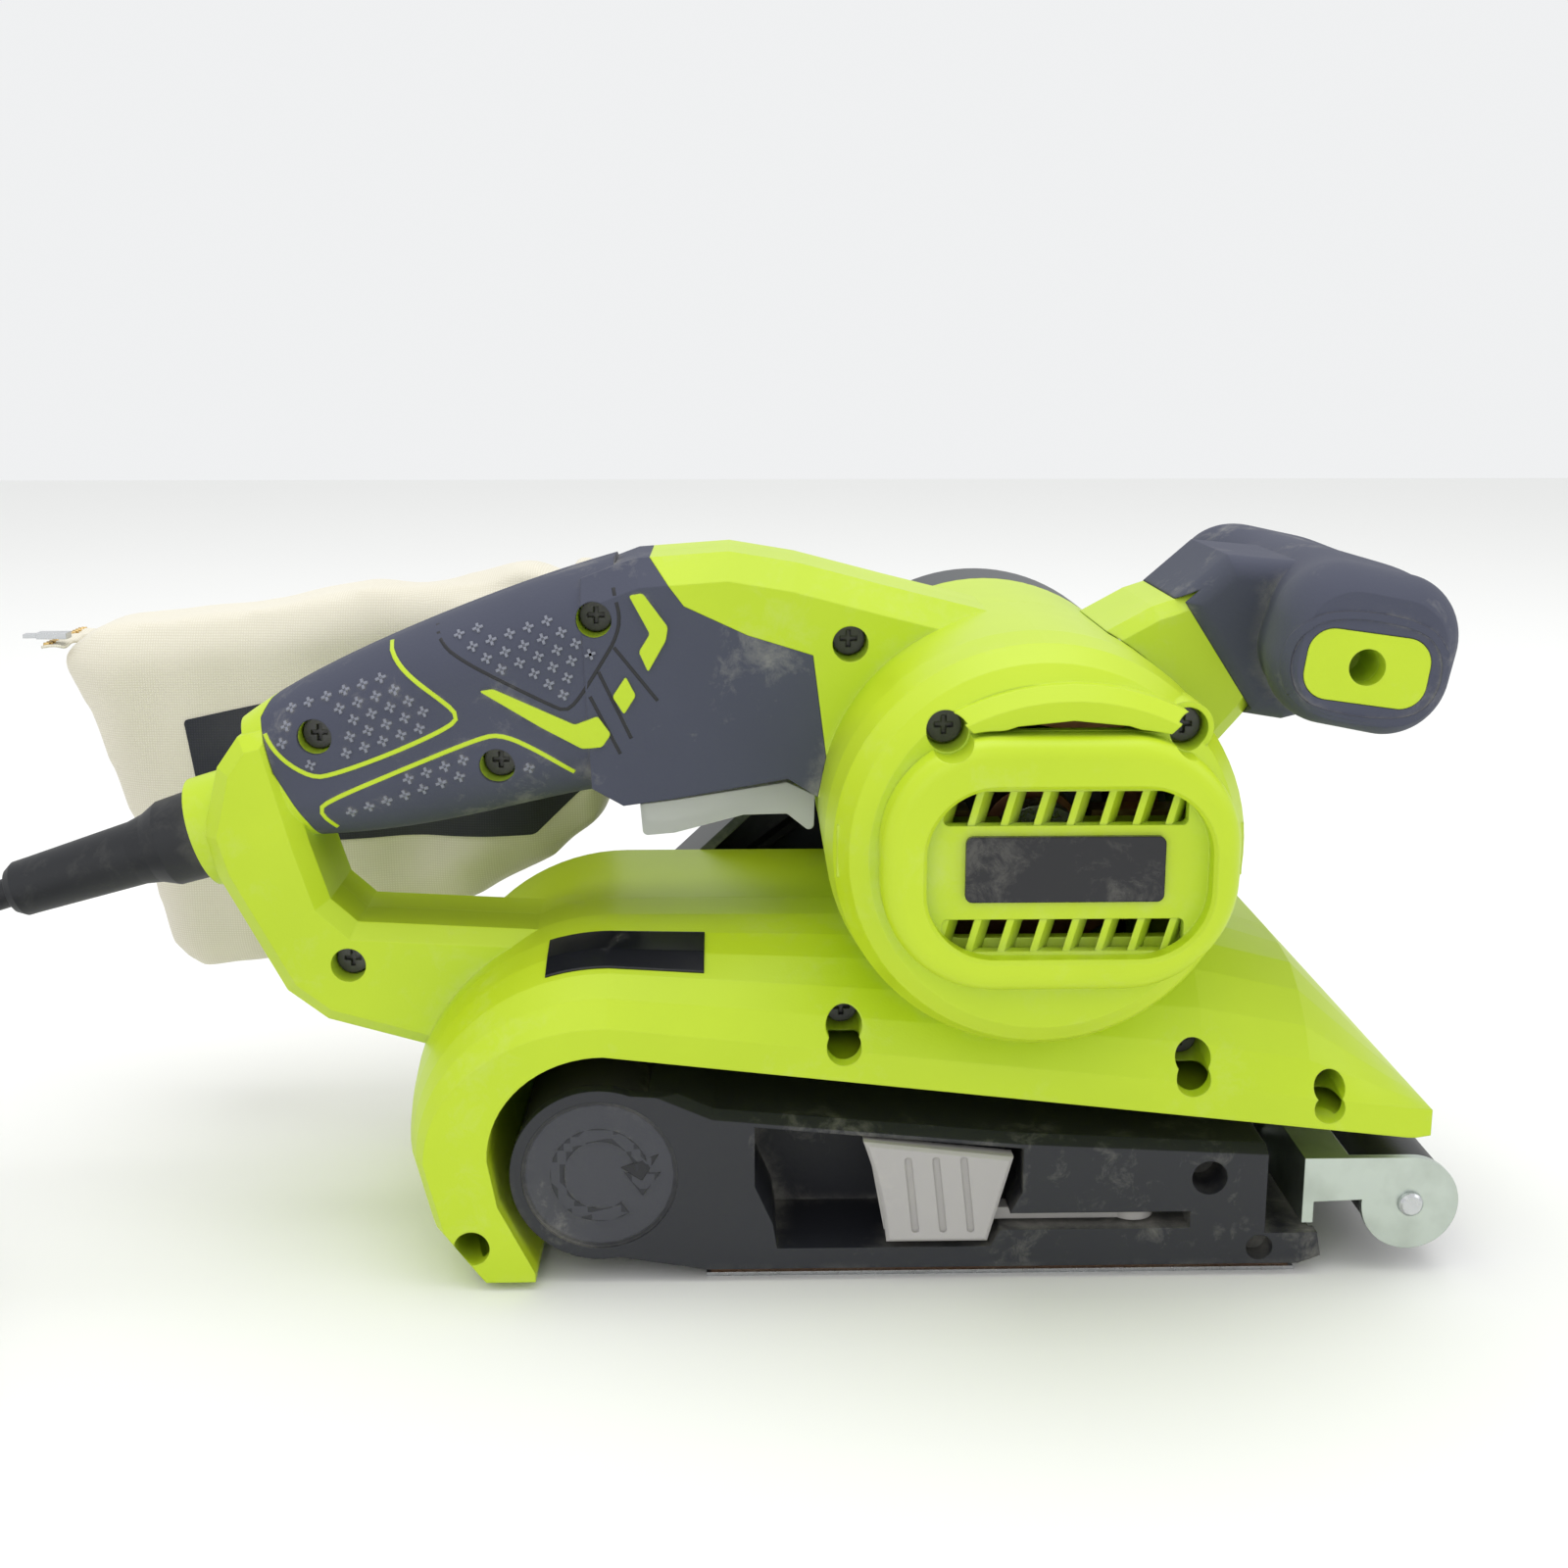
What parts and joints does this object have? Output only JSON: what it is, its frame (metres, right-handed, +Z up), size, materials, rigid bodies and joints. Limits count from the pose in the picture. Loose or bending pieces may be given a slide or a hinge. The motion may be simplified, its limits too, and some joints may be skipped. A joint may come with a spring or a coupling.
{
  "type": "handheld belt sander",
  "caption": "Handheld belt sander with a rear pistol grip, a cross-bar front handle, a hanging dust bag and a spring-tensioned front roller.",
  "frame": {"origin": "middle of the sole plate's underside, on the plane where the two housing halves part", "axes": "+X towards the front roller, +Y towards the drive side (the operator's left), +Z up from the work"},
  "size_m": [0.4364, 0.2082, 0.1622],
  "materials": {
    "lime_housing": "moulded, fine satin",
    "grip_rubber": "soft overmould, fine grain",
    "frame_black": "glass-filled, coarse moulded grain",
    "dark_cover": "moulded, satin",
    "dark_badge": "gloss",
    "dark_label": "printed film, plain",
    "lever_grey": "moulded, satin",
    "clear_trigger": "translucent, frosted",
    "sole_steel": "rolled sheet",
    "sole_cork": "pressed cork",
    "bright_steel": "ground",
    "zinc_plate": "zinc plated pressing",
    "roller_nylon": "glass-filled nylon",
    "bronze": "sintered",
    "brass": "pressed",
    "copper": "drawn",
    "cast_aluminium": "turned",
    "drum_rubber": "ground rubber",
    "motor_iron": "laminated",
    "carbon": "pressed carbon",
    "black_screw": "black oxide",
    "bag_cloth": "woven cotton twill",
    "bag_tape": "zip tape",
    "cord_rubber": "smooth moulded"
  },
  "bodies": {
    "housing": {"badge_plate": "dark_badge", "brush_holders": "brass", "carbon_brushes": "carbon", "cord_boot": "cord_rubber", "cord_clamp": "frame_black", "cord_coil": "cord_rubber", "drive_cover": "dark_cover", "drive_cover_screws": "black_screw", "drum_bearings": "bright_steel", "end_cap_screws": "black_screw", "frame_screws": "black_screw", "front_handle_core": "lime_housing", "front_handle_grip": "grip_rubber", "handle_end_plates": "lime_housing", "housing_screws": "black_screw", "left_grip_skin": "grip_rubber", "left_housing": "lime_housing", "lever_pin": "bright_steel", "motor_bearings": "bright_steel", "motor_end_cap": "lime_housing", "platen_frame": "frame_black", "plug": "cord_rubber", "plug_blades": "brass", "power_cord": "cord_rubber", "rating_label": "dark_label", "right_grip_skin": "grip_rubber", "right_housing": "lime_housing", "sole_pad": "sole_cork", "sole_plate": "sole_steel", "stator_coils": "copper", "stator_core": "motor_iron", "switch_body": "frame_black", "tension_spring": "bright_steel", "timing_belt": "drum_rubber"},
    "rotor": {"armature_shaft": "bright_steel", "armature_core": "motor_iron", "commutator": "copper", "cooling_fan": "dark_cover", "drive_pinion": "bright_steel"},
    "drum": {"drum_shaft": "bright_steel", "drive_drum": "cast_aluminium", "drum_sleeve": "drum_rubber", "driven_pulley": "roller_nylon"},
    "trigger": {"trigger": "clear_trigger"},
    "lock_button": {"lock_on_button": "frame_black"},
    "lever": {"tension_lever": "lever_grey"},
    "carriage": {"tension_rod": "bright_steel"},
    "bracket": {"roller_bracket": "zinc_plate", "roller_axle": "bright_steel"},
    "roller": {"front_roller": "roller_nylon", "roller_bushes": "bronze"},
    "tracking_knob": {"tracking_knob": "dark_cover", "tracking_screw": "bright_steel"},
    "bag": {"bag_collar": "dark_cover", "dust_bag": "bag_cloth", "bag_zip": "bag_tape"},
    "zip_puller": {"zip_puller": "bright_steel"}
  },
  "joints": [
    {"name": "trigger_press", "type": "slide", "parent": "housing", "child": "trigger", "axis": [0, 0, 1], "range_m": [0, 0.004], "stiffness_N_per_m": 600, "springref_m": -0.002},
    {"name": "lock_button_press", "type": "slide", "parent": "housing", "child": "lock_button", "axis": [0, -1, 0], "range_m": [0, 0.003], "stiffness_N_per_m": 400, "springref_m": -0.001},
    {"name": "motor_spin", "type": "hinge", "parent": "housing", "child": "rotor", "pos_m": [0.004, 0, 0.1045], "axis": [0, 1, 0], "continuous": true},
    {"name": "drum_spin", "type": "hinge", "parent": "housing", "child": "drum", "pos_m": [-0.0895, 0, 0.026], "axis": [0, 1, 0], "continuous": true},
    {"name": "lever_swing", "type": "hinge", "parent": "housing", "child": "lever", "pos_m": [0.031, -0.034, 0.014], "axis": [0, 0, 1], "range_deg": [0, 100]},
    {"name": "carriage_slide", "type": "slide", "parent": "housing", "child": "carriage", "axis": [-1, 0, 0], "range_m": [0, 0.00698]},
    {"name": "bracket_tilt", "type": "hinge", "parent": "carriage", "child": "bracket", "pos_m": [0.066, 0, 0.018], "axis": [0, 0, 1], "range_deg": [-1.5, 1.5]},
    {"name": "roller_spin", "type": "hinge", "parent": "bracket", "child": "roller", "pos_m": [0.093, 0, 0.017], "axis": [0, 1, 0], "continuous": true},
    {"name": "tracking_knob_turn", "type": "hinge", "parent": "housing", "child": "tracking_knob", "pos_m": [0.064, 0.05, 0.021], "axis": [0, 1, 0], "range_deg": [-90, 90]},
    {"name": "bag_pull", "type": "slide", "parent": "housing", "child": "bag", "axis": [-1, 0, 0], "range_m": [0, 0.03]},
    {"name": "zip_slide", "type": "slide", "parent": "bag", "child": "zip_puller", "axis": [0, 1, 0], "range_m": [0, 0.024]}
  ],
  "couplings": [
    {"joint": "drum_spin", "follows": "motor_spin", "ratio": 0.46875},
    {"joint": "lever_swing", "follows": "carriage_slide", "rad_per_m": 250},
    {"joint": "tracking_knob_turn", "follows": "bracket_tilt", "ratio": 60}
  ]
}
